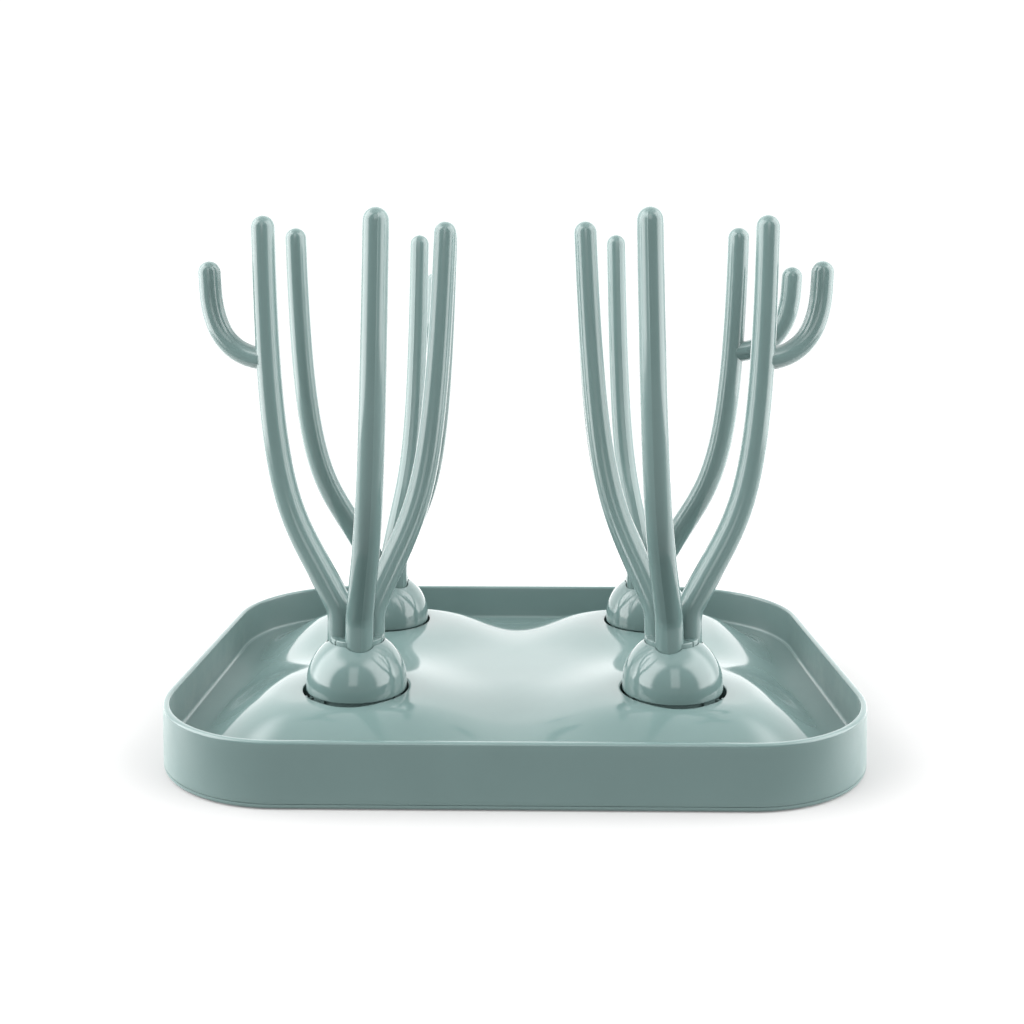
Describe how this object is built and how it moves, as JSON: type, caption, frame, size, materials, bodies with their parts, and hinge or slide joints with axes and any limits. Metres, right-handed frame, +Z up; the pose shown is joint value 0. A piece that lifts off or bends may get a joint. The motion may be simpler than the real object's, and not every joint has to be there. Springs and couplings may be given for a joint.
{
  "type": "bottle drying rack",
  "caption": "Countertop drip tray with raised mounds, each holding a lift-out tree of curved upright branches on which bottles, teats and small parts are hung to dry.",
  "frame": {"origin": "middle of the flat underside of the tray, which is the plane of the worktop", "axes": "+X to the right along the long side of the tray, +Y to the back, +Z up"},
  "size_m": [0.28, 0.2308, 0.2175],
  "materials": {
    "tray": "smooth glossy moulded plastic, satin on the outside wall",
    "base": "fine matte moulded plastic",
    "branch": "satin moulded plastic",
    "dome": "satin moulded plastic",
    "plug": "fine matte moulded plastic",
    "pad": "soft matte rubber",
    "screw": "zinc plated steel"
  },
  "bodies": {
    "base": {"tray": "tray", "base_cover": "base", "base_screws": "screw", "front_left_pad": "pad", "front_right_pad": "pad", "back_left_pad": "pad", "back_right_pad": "pad"},
    "front_left_tree": {"front_left_dome": "dome", "front_left_plug": "plug", "front_left_forked_branch": "branch", "front_left_left_branch": "branch", "front_left_right_branch": "branch"},
    "front_right_tree": {"front_right_dome": "dome", "front_right_plug": "plug", "front_right_forked_branch": "branch", "front_right_left_branch": "branch", "front_right_right_branch": "branch"},
    "back_left_tree": {"back_left_dome": "dome", "back_left_plug": "plug", "back_left_forked_branch": "branch", "back_left_left_branch": "branch", "back_left_right_branch": "branch"},
    "back_right_tree": {"back_right_dome": "dome", "back_right_plug": "plug", "back_right_forked_branch": "branch", "back_right_left_branch": "branch", "back_right_right_branch": "branch"}
  },
  "joints": [
    {"name": "front_left_tree_lift", "type": "slide", "parent": "base", "child": "front_left_tree", "axis": [0, 0, 1], "range_m": [0, 0.018]},
    {"name": "front_right_tree_lift", "type": "slide", "parent": "base", "child": "front_right_tree", "axis": [0, 0, 1], "range_m": [0, 0.018]},
    {"name": "back_left_tree_lift", "type": "slide", "parent": "base", "child": "back_left_tree", "axis": [0, 0, 1], "range_m": [0, 0.018]},
    {"name": "back_right_tree_lift", "type": "slide", "parent": "base", "child": "back_right_tree", "axis": [0, 0, 1], "range_m": [0, 0.018]}
  ]
}
